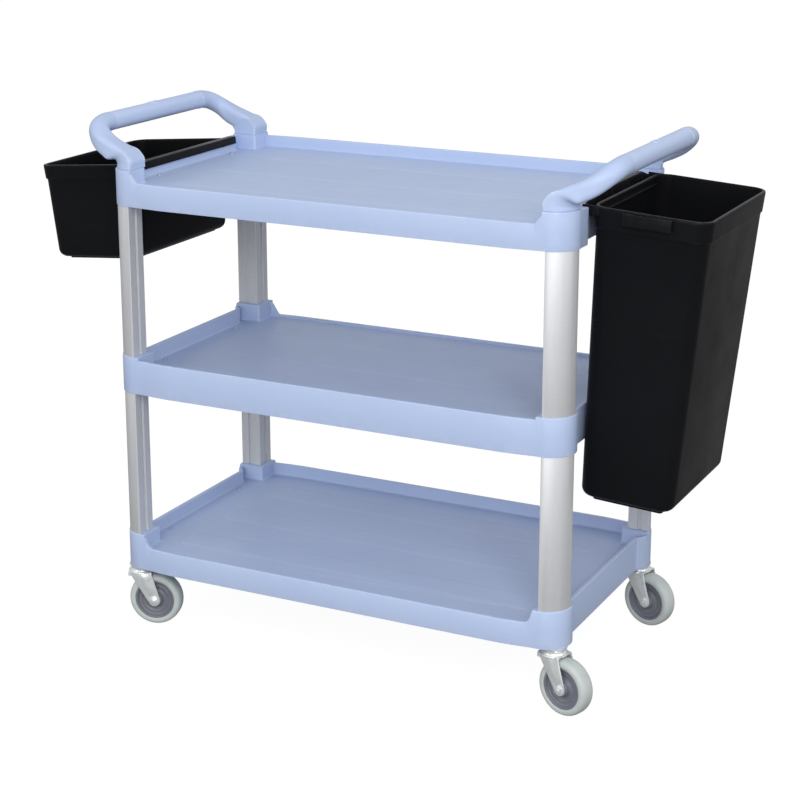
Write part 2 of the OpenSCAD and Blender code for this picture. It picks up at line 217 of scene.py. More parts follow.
M_TYRE = rubber("grey_elastomer_tyre", (0.46, 0.505, 0.495), (0.52, 0.565, 0.555), (0.36, 0.39, 0.39), 0.52)
M_CORE = rubber("grey_wheel_core", (0.150, 0.160, 0.190), (0.180, 0.190, 0.225), (0.10, 0.105, 0.12), 0.42, 0.45)


# ------------------------------------------------------------------ mesh helpers
class Geo:
    def __init__(self):
        self.v, self.f = [], []

    def ring(self, pts):
        i = len(self.v)
        self.v += [tuple(p) for p in pts]
        return list(range(i, i + len(pts)))

    def band(self, a, b, closed=True):
        n = len(a)
        for i in range(n if closed else n - 1):
            j = (i + 1) % n
            self.f.append((a[i], a[j], b[j], b[i]))

    def loft(self, rings, cap0=True, cap1=True, wrap=False):
        ids = [self.ring(r) for r in rings]
        for a, b in zip(ids, ids[1:]):
            self.band(a, b)
        if wrap:
            self.band(ids[-1], ids[0])
        else:
            if cap0:
                self.f.append(tuple(ids[0]))
            if cap1:
                self.f.append(tuple(reversed(ids[-1])))
        return ids

    def add(self, other, fn=None):
        k = len(self.v)
        self.v += [fn(p) if fn else p for p in other.v]
        self.f += [tuple(i + k for i in f) for f in other.f]


def piece(name, g, body, slot, mat, hides=(), angle=32.0, merge=2e-6):
    me = bpy.data.meshes.new(name)
    me.from_pydata([(x * MM, y * MM, z * MM) for x, y, z in g.v], [], g.f)
    bm = bmesh.new()
    bm.from_mesh(me)
    bmesh.ops.remove_doubles(bm, verts=bm.verts, dist=merge)
    bmesh.ops.dissolve_degenerate(bm, edges=bm.edges, dist=merge)
    bmesh.ops.recalc_face_normals(bm, faces=bm.faces)
    bm.to_mesh(me)
    bm.free()
    me.shade_smooth()
    me.set_sharp_from_angle(angle=math.radians(angle))
    ob = bpy.data.objects.new(name, me)
    scene.collection.objects.link(ob)
    me.materials.append(mat)
    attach(ob, body)
    if hides:
        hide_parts(*hides)
    return ob


def rrect(hx, hy, r, n=5):
    r = max(0.01, min(r, hx, hy))
    out = []
    for cx_, cy_, a0 in ((hx - r, -hy + r, -90), (hx - r, hy - r, 0), (-hx + r, hy - r, 90), (-hx + r, -hy + r, 180)):
        for i in range(n + 1):
            a = math.radians(a0 + 90 * i / n)
            out.append((cx_ + r * math.cos(a), cy_ + r * math.sin(a)))
    return out


def rbox(g, c, h, r, rc=None, n=4, fn=None):
    """Box with half sizes h, every edge rounded by r, upright edges by rc."""
    rc = rc or r
    rings = []
    steps = [math.radians(90 * k / n) for k in range(n + 1)]
    for a in steps:
        rings.append((-h[2] + r * (1 - math.sin(a)), r * (1 - math.cos(a))))
    rings = [(-h[2] + r - r * math.sin(a), r - r * math.cos(a)) for a in reversed(steps)]
    rings += [(h[2] - r + r * math.sin(a), r - r * math.cos(a)) for a in steps]
    out = []
    for z, i in rings:
        ring = [(c[0] + x, c[1] + y, c[2] + z) for x, y in rrect(h[0] - i, h[1] - i, max(0.05, rc - i))]
        out.append([fn(p) for p in ring] if fn else ring)
    g.loft(out)


def revolve(g, profile, n, fn, wrap=True):
    """profile: (r, h) points; fn maps (r cos, r sin, h) to the place."""
    rings = [[fn((r * math.cos(2 * math.pi * i / n), r * math.sin(2 * math.pi * i / n), h)) for i in range(n)]
             for r, h in profile]
    g.loft(rings, wrap=wrap)


def catmull(p0, p1, p2, p3, t):
    return tuple(0.5 * (2 * b + (c - a) * t + (2 * a - 5 * b + 4 * c - d) * t * t + (3 * b - a - 3 * c + d) * t ** 3)
                 for a, b, c, d in zip(p0, p1, p2, p3))


def smooth_rings(rings, sub):
    out = []
    for k in range(len(rings) - 1):
        a, b = rings[max(0, k - 1)], rings[k]
        c, d = rings[k + 1], rings[min(len(rings) - 1, k + 2)]
        for q in range(sub):
            t = q / sub
            out.append([catmull(a[i], b[i], c[i], d[i], t) for i in range(len(b))])
    out.append(rings[-1])
    return out


def shrink(poly, d):
    """Closed 2D polygon moved inwards by d (counter-clockwise polygons)."""
    n = len(poly)
    out = []
    for i in range(n):
        p, q, r = Vector(poly[i - 1]), Vector(poly[i]), Vector(poly[(i + 1) % n])
        e1, e2 = (q - p).normalized(), (r - q).normalized()
        n1, n2 = Vector((-e1.y, e1.x)), Vector((-e2.y, e2.x))
        m = n1 + n2
        m = m / max(0.35, m.dot(m) / 2)
        out.append((q.x + m.x * d, q.y + m.y * d))
    return out


# ------------------------------------------------------------------ shelves
def side_y(x):
    t = max(0.0, (abs(x) - 330.0) / 73.0)
    return 250.0 - 5.35 * (1 - math.cos(math.pi * t)) / 2


A_END = math.radians(-43.6)


def xs_for(x0, x1, bx):
    """Stations along the long side: the low rim sweeps up between x0 and x1, the corner block starts at bx."""
    xs = [0, 55, 110, 165, 220, 270, 310, 335, x0 - 17.5, x0 - 7.5, x0 - 3.5, x0 - 1.5]
    xs += [x0 + (x1 - x0) * k / 12 for k in range(13)]
    return xs + [x1 + (bx - x1) * k / 3 for k in (1, 2, 3)]


N_LEG1, N_ARC, N_LEG2, N_LOBE, N_FIL = 13, 6, 13, 12, 9
YS = [162.45, 150, 135, 110, 80, 40, 0]


FLUSH = [(447.15, 192.0), (447.2, 188.0), (447.2, 184.0), (447.2, 180.0), (447.2, 176.0), (447.2, 172.0), (447.2, 169.0), (447.2, 167.2),
         (447.0, 165.9), (446.5, 164.9), (445.8, 164.2), (444.8, 163.7), (443.4, 163.4), (441.6, 163.3), (439.8, 163.3), (438.0, 163.3),
         (436.4, 163.3), (435.0, 163.25), (433.8, 163.15), (432.9, 162.95), (432.5, 162.7)]


def outer_path(xs, blk, flush):
    bx = PX - blk
    pts = [(x, side_y(x)) for x in xs]
    n = N_LEG1 + N_ARC + N_LEG2
    raw = [(bx, side_y(bx)), (min(bx + 5.0, 400.5), 244.65)]
    m = n - 2
    turn = 90 + math.degrees(math.asin(blk / LOBE))
    raw += [(PX + LOBE * math.cos(math.radians(90 - turn * i / (m - 1))),
             PY + LOBE * math.sin(math.radians(90 - turn * i / (m - 1)))) for i in range(m)]
    pts += raw
    if flush:
        # the top shelf's corners run on flat beside the bins
        return pts + FLUSH + [(432.5, y) for y in YS]
    a0 = math.asin(-blk / LOBE)
    pts += [(PX + LOBE * math.cos(a0 + (A_END - a0) * i / (N_LOBE - 1)), PY + LOBE * math.sin(a0 + (A_END - a0) * i / (N_LOBE - 1)))
            for i in range(N_LOBE)]
    pts += [(442.5 + 10 * math.cos(math.radians(136.4 + 43.6 * i / (N_FIL - 1))),
             162.45 + 10 * math.sin(math.radians(136.4 + 43.6 * i / (N_FIL - 1)))) for i in range(N_FIL)]
    pts += [(432.5, y) for y in YS]
    return pts


def inner_path(xs, blk, off, d):
    b0, c0 = PX - blk, PY - blk
    bx, by = b0 - d, c0 - d
    y0 = side_y(b0) - off - d
    pts = [(min(x, bx), side_y(x) - off - d) for x in xs]
    pts += [(bx, y0 + (c0 + 3.0 - y0) * i / (N_LEG1 - 1)) for i in range(N_LEG1)]
    pts += [(b0 + 3.0 - (3 + d) * math.cos(math.radians(90 * i / (N_ARC - 1))),
             c0 + 3.0 - (3 + d) * math.sin(math.radians(90 * i / (N_ARC - 1)))) for i in range(N_ARC)]
    rad = LOBE - off - d
    x1 = PX + math.sqrt(rad * rad - (blk + d) ** 2)
    pts += [(b0 + 3.0 + (x1 - b0 - 3.0) * i / (N_LEG2 - 1), by) for i in range(N_LEG2)]
    a0 = math.asin(-(blk + d) / rad)
    pts += [(PX + rad * math.cos(a0 + (A_END - a0) * i / (N_LOBE - 1)), PY + rad * math.sin(a0 + (A_END - a0) * i / (N_LOBE - 1)))
            for i in range(N_LOBE)]
    rf = 10 + off + d
    pts += [(442.5 + rf * math.cos(math.radians(136.4 + 43.6 * i / (N_FIL - 1))),
             162.45 + rf * math.sin(math.radians(136.4 + 43.6 * i / (N_FIL - 1)))) for i in range(N_FIL)]
    pts += [(432.5 - off - d, y) for y in YS]
    return pts


def smoothstep(t):
    t = max(0.0, min(1.0, t))
    return t * t * (3 - 2 * t)


def rim_heights(xs, x0, x1, low, high, end, corner, hollow):
    """Height of the rim at each point of a quadrant; low is None on the high side."""
    out = []
    for x in xs:
        if low is None or x >= x1 - 0.01:
            out.append(high)
        else:
            t = max(0.0, min(1.0, (x - x0) / (x1 - x0)))
            if hollow:                      # concave quarter round
                s = 1 - math.sqrt(max(0.0, 1 - t * t))
                s = min(s, 1.0)
                out.append(low + (high - low) * (0.72 * s + 0.28 * t ** 3))
            else:                           # slanting
                out.append(low + (high - low) * (0.72 * t + 0.28 * smoothstep(t)))
    out += [corner] * (N_LEG1 + N_ARC + N_LEG2)
    out += [end] * (N_LOBE + N_FIL + len(YS))
    return out


def around(path):
    """A quadrant's path mirrored into the whole loop."""
    q = list(path)
    rev = list(reversed(q))
    loop = [(x, y) for x, y in q]
    loop += [(x, -y) for x, y in rev[1:]]
    loop += [(-x, -y) for x, y in q[1:]]
    loop += [(-x, y) for x, y in rev[1:-1]]
    return loop


def around_h(hp, hm):
    rp, rm = list(reversed(hp)), list(reversed(hm))
    return list(hp) + rm[1:] + hm[1:] + rp[1:-1]


def towards(a, b, d):
    v = Vector(b) - Vector(a)
    if v.length < 1e-6:
        return a
    v = v.normalized() * d
    return (a[0] + v.x, a[1] + v.y)


def shelf(name, z0, s, floor, low, high, end, corner, blk, x0, x1, hollow):
    g = Geo()
    xs = xs_for(x0, x1, PX - blk)
    outer, o_i = around(outer_path(xs, blk, name == "top_tray")), around(inner_path(xs, blk, 8, 0))
    under = around(inner_path(xs, blk, 4, 0))
    hp = rim_heights(xs, x0, x1, low if s > 0 else None, high, end, corner, hollow)
    hm = rim_heights(xs, x0, x1, low if s < 0 else None, high, end, corner, hollow)
    hh = around_h(hp, hm)
    n = len(outer)

    def at(pts, zs):
        return [(CX + p[0], p[1], z0 + z) for p, z in zip(pts, zs)]

    flat = lambda z: [z] * n
    rings = [
        at(under, flat(floor - 4.0)),
        at(under, flat(0.5)),
        at([towards(a, b, 0.5) for a, b in zip(under, outer)], flat(0.0)),
        at([towards(a, b, 0.9) for a, b in zip(outer, under)], flat(0.0)),
        at([towards(a, b, 0.26) for a, b in zip(outer, under)], flat(0.26)),
        at(outer, flat(0.9)),
        at(outer, [h * 0.5 for h in hh]),
        at(outer, [h - 1.7 for h in hh]),
        at([towards(a, b, 0.23) for a, b in zip(outer, o_i)], [h - 0.85 for h in hh]),
        at([towards(a, b, 0.85) for a, b in zip(outer, o_i)], [h - 0.23 for h in hh]),
        at([towards(a, b, 1.7) for a, b in zip(outer, o_i)], [h for h in hh]),
        at([towards(a, b, 1.5) for a, b in zip(o_i, outer)], [h for h in hh]),
        at([towards(a, b, 0.75) for a, b in zip(o_i, outer)], [h - 0.2 for h in hh]),
        at([towards(a, b, 0.2) for a, b in zip(o_i, outer)], [h - 0.75 for h in hh]),
        at(o_i, [h - 1.5 for h in hh]),
        at(o_i, flat(floor + 4.0)),
        at(around(inner_path(xs, blk, 8, 0.55)), flat(floor + 2.0)),
        at(around(inner_path(xs, blk, 8, 1.9)), flat(floor + 0.6)),
        at(around(inner_path(xs, blk, 8, 4.0)), flat(floor)),
        at(around(inner_path(xs, blk, 8, 6.2)), flat(floor)),
    ]
    g.loft(rings)
    # low bands along the floor
    for y in (-150.0, 0.0, 150.0):
        pad = []
        for inset, z in ((-4.5, -0.3), (-4.5, 0.01), (-2.5, 0.07), (0.0, 0.28), (2.5, 0.55), (5.0, 0.74), (7.5, 0.80)):
            pad.append([(CX + px_, y + py_, z0 + floor + z) for px_, py_ in rrect(350.0 - inset, 31.0 - inset, 12.0 - inset * 0.5)])
        g.loft(pad)
    # ribs under the floor
    for k in range(-3, 4):
        rbox(g, (CX + k * 106.0, 0, z0 + (floor - 3.0) / 2 + 0.5), (1.5, 245.6, (floor - 3.0) / 2 - 0.5), 0.4, n=2)
    for k in (-1.5, -0.5, 0.5, 1.5):
        rbox(g, (CX, k * 98.0, z0 + (floor - 3.0) / 2 + 0.8), (428.9, 1.5, (floor - 3.0) / 2 - 0.8), 0.4, n=2)
    return piece(name + "_moulding", g, "frame", "blue_plastic", M_BLUE, [name], angle=38)


shelf("top_tray", 815.0, -1, 37.0, 44.5, 59.0, 63.0, 65.0, 6.0, 384.0, 396.5, False)
shelf("middle_tray", 465.0, 1, 35.0, 41.0, 64.0, 64.0, 69.0, 10.0, 377.0, 392.5, False)
shelf("bottom_tray", 120.0, -1, 40.0, 45.0, 64.0, 64.0, 69.0, 10.0, 375.0, 391.0, True)


# ------------------------------------------------------------------ handles
FOOT_C = (PX + 14.6, PY + 14.6)
GRIP_X, GRIP_Z, GRIP_R = 502.0, 949.5, 17.0


def foot_ring(z, inset, n=48, lift=0.0):
    """Quarter-disc foot outline as rays from its centre; order starts towards -Y and turns to -X."""
    out = []
    for i in range(n):
        a = 2 * math.pi * i / n
        d = (-math.sin(a), -math.cos(a))
        lim = 1e9
        if d[0] < -1e-9:
            lim = min(lim, (PX - 6 + inset - FOOT_C[0]) / d[0])
        if d[1] < -1e-9:
            lim = min(lim, (PY - 6 + inset - FOOT_C[1]) / d[1])
        # circle about the post corner
        ox, oy = FOOT_C[0] - PX, FOOT_C[1] - PY
        b = ox * d[0] + oy * d[1]
        c = ox * ox + oy * oy - (41.5 - inset) ** 2
        lim = min(lim, -b + math.sqrt(b * b - c))
        p = (FOOT_C[0] + d[0] * lim, FOOT_C[1] + d[1] * lim)
        out.append((p[0], p[1], z))
    return out


def foot_tilt(z, rise, cx, sx, cy, sy):
    """The foot's outline squeezed about its middle and tilted up towards the cart."""
    out = []
    for x, y, _ in foot_ring(0.0, 0.2):
        out.append((cx + (x - 420.75) * sx, cy + (y - 217.75) * sy, z + (PX + 41.5 - x) * rise))
    return out


def oval_ring(c, t, a, b, n=48, power=2.0):
    t = Vector(t).normalized()
    s = t.cross(Vector((0, 0, 1)))
    s = s.normalized() if s.length > 1e-4 else Vector((0, -1, 0))
    u = s.cross(t)
    out = []
    for i in range(n):
        f = 2 * math.pi * i / n
        cf, sf = math.cos(f), math.sin(f)
        k = (abs(cf) ** power + abs(sf) ** power) ** (-1 / power)
        p = Vector(c) + s * (a * k * cf) + u * (b * k * sf)
        out.append(tuple(p))
    return out


def arm_geo():
    """Arm of the right handle on the +Y side."""
    g = Geo()
    keys = [
        foot_ring(880.0, 0.9), foot_ring(880.9, 0.0), foot_ring(883.0, 0.0), foot_ring(885.5, 0.1),
        foot_tilt(887.2, 0.22, 420.75, 1.0, 217.6, 0.99),
        foot_tilt(891.5, 0.44, 429.0, 0.78, 216.6, 0.95),
        oval_ring((440.0, 214.4, 907.4), (0.70, -0.03, 0.71), 21.8, 18.4, power=4.4),
        oval_ring((454.3, 213.0, 913.4), (0.84, -0.08, 0.54), 20.9, 17.3, power=3.9),
        oval_ring((468.5, 210.8, 921.3), (0.82, -0.24, 0.54), 20.2, 17.1, power=3.3),
        oval_ring((480.0, 206.5, 929.8), (0.72, -0.46, 0.48), 19.6, 17.0, power=2.7),
        oval_ring((489.5, 199.0, 937.6), (0.52, -0.70, 0.42), 19.0, 17.0, power=2.2),
        oval_ring((496.3, 188.5, 943.8), (0.32, -0.86, 0.32), 18.5, 17.0, power=2.1),
        oval_ring((500.3, 176.0, 947.5), (0.14, -0.95, 0.18), 18.0, 17.2),
        oval_ring((502.0, 162.0, 949.3), (0.0, -1.0, 0.05), 17.7, 17.4),
    ]
    smooth = smooth_rings(keys[3:], 4)
    rings = keys[:3] + smooth
    rings += [oval_ring((502.0, 150.4, GRIP_Z), (0, -1, 0), 17.6, 17.6),
              oval_ring((502.0, 149.0, GRIP_Z), (0, -1, 0), 17.55, 17.55),
              oval_ring((502.0, 148.4, GRIP_Z), (0, -1, 0), 17.1, 17.1),
              oval_ring((502.0, 148.2, GRIP_Z), (0, -1, 0), 16.3, 16.3),
              oval_ring((502.0, 148.2, GRIP_Z), (0, -1, 0), 11.4, 11.4)]
    g.loft(rings)
    return g


ARM = arm_geo()
for side, sx in (("left", -1), ("right", 1)):
    for part, sy in (("front", -1), ("back", 1)):
        g = Geo()
        g.add(ARM, lambda p: (CX + sx * p[0], sy * p[1], p[2]))
        piece(f"handle_{side}_{part}_arm", g, "frame", "blue_plastic", M_BLUE, [f"handle_{side}_arm_{part}"], angle=50)
    # grip sleeve with a shallow oval pad
    g = Geo()
    gx, gz = CX + sx * GRIP_X, GRIP_Z
    prof = [(11.05, -148.0), (16.0, -148.0), (16.6, -147.6), (16.9, -146.6), (17.0, -140.0), (17.0, -70.0), (17.0, 0.0), (17.0, 70.0),
            (17.0, 140.0), (16.9, 146.6), (16.6, 147.6), (16.0, 148.0), (11.05, 148.0)]
    rings = []
    for r, h in prof:
        ring = []
        for i in range(72):
            f = 2 * math.pi * i / 72
            cf, sf = math.cos(f), math.sin(f)
            k = (abs(cf) ** 2.25 + abs(sf) ** 2.25) ** (-1 / 2.25) if r > 12 else 1.0
            k = min(k, 1.045)
            ring.append((gx + r * k * 0.985 * cf, h, gz + r * k * 0.985 * sf))
        rings.append(ring)
    g.loft(rings, wrap=True)
    pad = []
    for sc, h in ((1.0, -0.5), (1.0, 0.45), (0.95, 0.95), (0.88, 1.15), (0.80, 1.05), (0.77, 0.75), (0.70, 0.70), (0.35, 0.80), (0.05, 0.82)):
        ring = []
        for i in range(40):
            f = 2 * math.pi * i / 40
            ang = 9.6 * sc * math.cos(f) / GRIP_R
            ring.append((gx + (GRIP_R + h) * math.sin(ang), -3.5 + 14.0 * sc * math.sin(f), gz + (GRIP_R + h) * math.cos(ang)))
        pad.append(ring)
    g.loft(pad)
    piece(f"handle_{side}_sleeve", g, "frame", "blue_plastic", M_GRIP, [f"handle_{side}_grip"], angle=35)


# ------------------------------------------------------------------ bins
def tb(a, b, hv, du, db, dv, h, r, w, i, n=8):
    """Ring of a tapered box, as in the CAD: top span a..b, half width hv, drafts du (cart side), db (outer side) and dv over depth h, inset i."""
    u0, u1 = a + du * (-w) / h + i, b - db * (-w) / h - i
    v = hv - dv * (-w) / h - i
    rr_ = max(3.0, r - i)
    c = (u0 + u1) / 2
    return [(c + x, y, w) for x, y in rrect((u1 - u0) / 2, v, rr_, n)]


def bin_rings(a, b, hv, du, db, dv, h, r, band, step, t, foot):
    k = lambda w, i: tb(a, b, hv, du, db, dv, h, r, w, i)
    k0 = lambda w, i: tb(a, b, hv, 0, 0, 0, h, r, w, i)
    rings = [k(-h - foot, 23.0), k(-h - foot, 21.2), k(-h - foot + 0.8, 20.4), k(-h - 0.6, 19.6), k(-h, 18.2)]
    rings += [k(-h + 15 * (1 - math.cos(q)), 15 * (1 - math.sin(q))) for q in (math.radians(x) for x in (8, 20, 32, 45, 58, 70, 80, 90))]
    for w in (0.75, 0.5, 0.25):
        rings.append(k(-h + (1 - w) * (h - band), 0.0))
    rings += [k(-band - step - 0.8, 0.0), k(-band - step * 0.55, -step * 0.22), k(-band - 0.5, -step * 0.80), k(-band + 0.9, -step),
              k(-band + 3.0, -step - 0.02),
              k0(-6.0, -step - 0.4), k0(-2.2, -step - 0.5), k0(-0.9, -step - 0.15), k0(-0.15, -step + 0.75), k0(0.0, -step + 1.9),
              k0(0.0, t - 1.2), k0(-0.35, t - 0.3), k0(-1.4, t + 0.3), k0(-4.0, t + 0.6)]
    rings += [k(-band + 2.0, t + 0.2), k(-band - 2.0, t), k(-h * 0.5, t), k(-h + 16, t), k(-h + 9, t + 1.8), k(-h + t + 3.2, t + 7.0), k(-h + t + 1.0, t + 14.0),
              k(-h + t + 1.0, t + 17.0)]
    return rings


def place_large(p):
    a = math.radians(3.6)
    u, v, w = p
    return (CX + 452.0 + u * math.cos(a) + w * math.sin(a), v, 881.0 - u * math.sin(a) + w * math.cos(a))


def place_small(p):
    a = math.radians(5.0)
    u, v, w = p
    return (CX - 436.0 - (u * math.cos(a) + w * math.sin(a)), v, 876.8 - u * math.sin(a) + w * math.cos(a))


g = Geo()
g.loft([[place_large(p) for p in r] for r in bin_rings(1.5, 199, 164, 11.5, 20, 14.5, 510, 26, 36, 2.5, 3, 7)])
# trough behind the rim
for q in (-1, 1):
    rbox(g, (-1.0, q * 161.0, -8.2), (16.8, 1.5, 7.8), 0.7, fn=place_large)
rbox(g, (-4.0, 0, -14.5), (13.8, 162.3, 1.5), 0.7, fn=place_large)
# wall behind the trough, its top bevelled down at the ends, folded over the shelf's end wall
def slab(u0, u1, pts, r=0.8):
    """Plate between u0 and u1 whose face outline (v, w) is pts, edges rounded."""
    rings = []
    lo = shrink(pts, r)
    mid = shrink(pts, r * 0.3)
    for u, poly in ((u0, lo), (u0 + 0.3 * r, mid), (u0 + r, pts), (u1 - r, pts), (u1 - 0.3 * r, mid), (u1, lo)):
        rings.append([place_large((u, v, w)) for v, w in poly])
    g.loft(rings)


slab(-17.8, -14.8, [(162.4, -15.9), (162.4, -6.9), (161.6, -6.0), (119.5, 6.9), (117.5, 7.9), (-117.5, 7.9), (-119.5, 6.9), (-161.6, -6.0),
                    (-162.4, -6.9), (-162.4, -15.9)])
slab(-32.0, -15.2, [(118.0, 4.6), (116.5, 7.6), (112.0, 8.0), (-112.0, 8.0), (-116.5, 7.6), (-118.0, 4.6), (-118.0, -3.6), (118.0, -3.6)], 1.0)
slab(-32.0, -28.2, [(121.5, -10.2), (121.5, 2.0), (118.0, 6.0), (-118.0, 6.0), (-121.5, 2.0), (-121.5, -10.2), (-120.5, -11.0), (120.5, -11.0)])
# small gussets at the ends of the trough
for q in (-1, 1):
    slab(-15.2, -6.0, [(q * 161.0, -15.0), (q * 161.0, -7.0), (q * 159.6, -7.0), (q * 159.6, -15.0)][::(-1 if q > 0 else 1)], 0.3)
# grip tabs: a plate proud of the rim band with a turned-down lip
for q in (-1, 1):
    def tab(p, q=q):
        return place_large((p[0], q * p[1], p[2]))
    rbox(g, (99.0, 169.6, -4.9), (42.0, 5.4, 2.1), 1.2, rc=2.4, fn=tab)
    rbox(g, (99.0, 174.7, -12.8), (42.0, 1.75, 10.0), 1.2, rc=1.6, fn=tab)
    for e_ in (-1, 1):
        rbox(g, (99.0 + e_ * 40.9, 170.0, -9.5), (1.1, 5.4, 6.6), 0.6, fn=tab)
    # a moulded stop beside the tab
    rbox(g, (147.5, 166.1, -3.4), (2.2, 1.3, 2.6), 0.6, fn=tab)
piece("large_bin_moulding", g, "large_bin_body", "black_plastic", M_BLACK, ["large_bin"], angle=40)

g = Geo()
g.loft([[place_small(p) for p in r] for r in bin_rings(1.2, 218.5, 163, 18, 8.5, 1.5, 177, 24, 26, 3, 3, 4)])


def slab_s(u0, u1, pts, r=0.7):
    rings = []
    lo, mid = shrink(pts, r), shrink(pts, r * 0.3)
    for u, poly in ((u0, lo), (u0 + 0.3 * r, mid), (u0 + r, pts), (u1 - r, pts), (u1 - 0.3 * r, mid), (u1, lo)):
        rings.append([place_small((u, v, w)) for v, w in poly])
    g.loft(rings)


rbox(g, (-6.5, 0, 2.55), (9.5, 160.0, 1.25), 0.8, rc=3.0, fn=place_small)
rbox(g, (-14.0, 0, -4.0), (2.0, 160.0, 6.4), 1.0, rc=1.6, fn=place_small)
rbox(g, (0.8, 0, -1.5), (2.2, 135.0, 4.4), 0.6, fn=place_small)
piece("small_bin_moulding", g, "small_bin_body", "black_plastic", M_BLACK, ["small_bin"], angle=40)


# ------------------------------------------------------------------ casters
KX, KY, TRAIL, WR = 422.6, 212.8, 27.5, 50.8


def caster_frame(key):
    sx, sy = CORNERS[key]
    a = math.radians(SWIVEL[key])

    def fn(p):
        x, y, z = p
        return (CX + sx * KX + x * math.cos(a) - y * math.sin(a), sy * KY + x * math.sin(a) + y * math.cos(a), z)
    return fn


def leg_span(z):
    """x span of a fork leg at height z."""
    def line(p, q):
        return p[0] + (q[0] - p[0]) * (z - p[1]) / (q[1] - p[1])
    dz = z - WR
    ring = math.sqrt(max(0.0, 11.6 ** 2 - dz * dz))
    if z > 54.0:
        front = line((23.0, 106.7), (TRAIL + 11.2, 54.0))
    else:
        front = TRAIL + ring
    if z > WR - 3.0:
        back = line((-21.0, 106.7), (TRAIL - 10.4, WR - 5.0))
        if abs(dz) < 11.6:
            back = min(back, TRAIL - ring) if z < WR + 4 else back
    else:
        back = TRAIL - ring
    return back, front


def fork_geo():
    g = Geo()
    for q in (-1, 1):
        rings = []
        zs = [106.4, 105.0, 102.0, 98.0, 92.0, 85.0, 78.0, 71.0, 65.0, 60.0, 56.0, 53.0, 50.0, 47.5, 45.0, 43.0, 41.3, 40.1, 39.4]
        for z in zs:
            x0, x1 = leg_span(z)
            w = max(0.8, x1 - x0)
            xm = (x0 + x1) / 2
            bulge = 2.4 * smoothstep((z - 58.0) / 14.0) * smoothstep((107.0 - z) / 9.0)
            prof = []
            for t in (0.0, 0.02, 0.06, 0.2, 0.36, 0.5, 0.56, 0.62, 0.8, 0.94, 0.98, 1.0):
                x = x0 + w * t
                y = 17.2 + bulge * (1 - abs(t - 0.56) / 0.56 if t < 0.56 else 1 - (t - 0.56) / 0.44)
                prof.append((x, y, t))
            outer = [(x, q * (y + 2.5 - (0.8 if t in (0.0, 1.0) else 0.25 if t in (0.02, 0.98) else 0.0)), z) for x, y, t in prof]
            inner = [(x, q * (y + (0.6 if t in (0.0, 1.0) else 0.15 if t in (0.02, 0.98) else 0.0)), z) for x, y, t in reversed(prof)]
            rings.append(outer + inner)
        g.loft(rings)
    # crown: the top plate bends down into the legs
    rings = []
    prof = [(-19.7, 98.0), (-19.7, 103.5), (-19.3, 105.6), (-17.9, 107.1), (-15.8, 107.8), (-10.0, 108.0), (10.0, 108.0), (15.8, 107.8),
            (17.9, 107.1), (19.3, 105.6), (19.7, 103.5), (19.7, 98.0), (17.2, 98.0), (17.2, 102.6), (15.8, 104.6), (12.0, 105.2),
            (-12.0, 105.2), (-15.8, 104.6), (-17.2, 102.6), (-17.2, 98.0)]
    for x, inset in ((-21.6, 0.7), (-21.0, 0.2), (-20.0, 0.0), (-8.0, 0.0), (8.0, 0.0), (22.2, 0.0), (23.2, 0.2), (23.8, 0.7)):
        rings.append([(x + (0 if z > 103 else (0.3 if x > 0 else -0.0) * (103 - z)), y * (1 - inset / 40), z - (inset if z > 104.9 else 0) * 0.4) for y, z in prof])
    g.loft(rings)
    # domed seat for the upper ball race
    revolve(g, [(0.5, 104.0), (24.2, 104.0), (24.9, 104.6), (25.0, 105.6), (24.4, 106.8), (23.2, 107.6), (22.4, 108.6), (21.9, 110.2),
                (21.2, 111.2), (19.8, 111.7), (0.5, 111.7)], 64, lambda p: p, wrap=False)
    return g


def axle_geo():
    g = Geo()
    def ax(p):
        return (TRAIL + p[0], p[2], WR + p[1])
    # bolt with a rolled head on one side and a nut on the other
    revolve(g, [(0.3, -22.5), (3.6, -22.5), (4.0, -22.0), (4.0, 19.0), (7.4, 19.8), (7.5, 21.0), (7.0, 22.4), (5.6, 23.4), (3.0, 23.8), (0.3, 23.9)],
            40, ax, wrap=False)
    rings = []
    for h, r in ((-19.7, 6.6), (-19.9, 7.2), (-20.6, 7.5), (-23.7, 7.5), (-24.3, 7.1), (-24.5, 6.3)):
        ring = []
        for i in range(48):
            a = 2 * math.pi * i / 48
            seg = (a + math.pi / 6) % (math.pi / 3) - math.pi / 6
            hexr = 6.3 / math.cos(seg)
            ring.append(ax((min(r, hexr) * math.cos(a), min(r, hexr) * math.sin(a), h)))
        rings.append(ring)
    g.loft(rings)
    revolve(g, [(0.3, -25.2), (2.6, -25.2), (3.3, -24.7), (3.4, -24.0), (3.4, -20.0), (0.3, -20.0)], 32, ax, wrap=False)
    # washers against the legs
    for s in (-1, 1):
        revolve(g, [(4.2, s * 19.68), (8.3, s * 19.68), (8.6, s * 19.9), (8.4, s * 20.5), (4.2, s * 20.6)], 40, ax)
    return g


def tyre_geo():
    g = Geo()
    prof = [(38.05, -14.2), (38.6, -14.9), (39.8, -15.3), (41.5, -15.5), (44.0, -15.4), (46.2, -14.6), (48.0, -13.2), (49.3, -11.2), (50.2, -8.6),
            (50.7, -5.5), (50.8, -2.5), (50.8, 2.5), (50.7, 5.5), (50.2, 8.6), (49.3, 11.2), (48.0, 13.2), (46.2, 14.6), (44.0, 15.4), (41.5, 15.5),
            (39.8, 15.3), (38.6, 14.9), (38.05, 14.2)]
    revolve(g, prof, 128, lambda p: (TRAIL + p[0], p[2], WR + p[1]))
    return g


